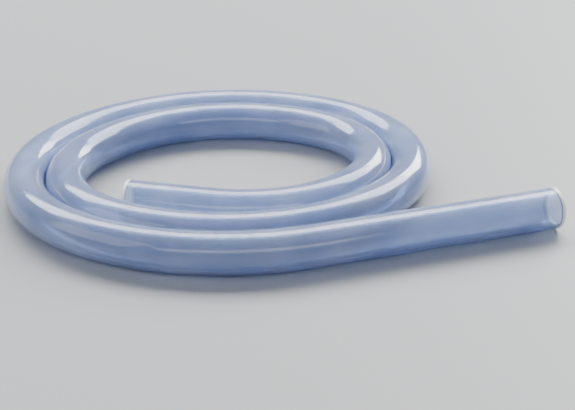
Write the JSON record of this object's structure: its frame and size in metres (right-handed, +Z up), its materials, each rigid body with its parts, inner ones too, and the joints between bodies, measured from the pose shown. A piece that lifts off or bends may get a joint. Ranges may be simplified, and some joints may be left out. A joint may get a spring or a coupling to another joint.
{
  "type": "tubing coil",
  "caption": "Soft translucent silicone tube wound in a flat oval coil, its outer end leaving as a straight tail, for joining lab glassware, pumps and gas or water lines.",
  "frame": {"origin": "bottom centre of the bounding box, on the surface the coil lies on", "axes": "+Z up from the surface; +X along the longest side, towards the tail's end; +Y to the side the tail leans to"},
  "size_m": [0.1362, 0.1008, 0.01],
  "materials": {
    "silicone": "smooth, translucent, slightly glossy"
  },
  "bodies": {
    "root": {"tubing": "silicone"}
  },
  "joints": []
}
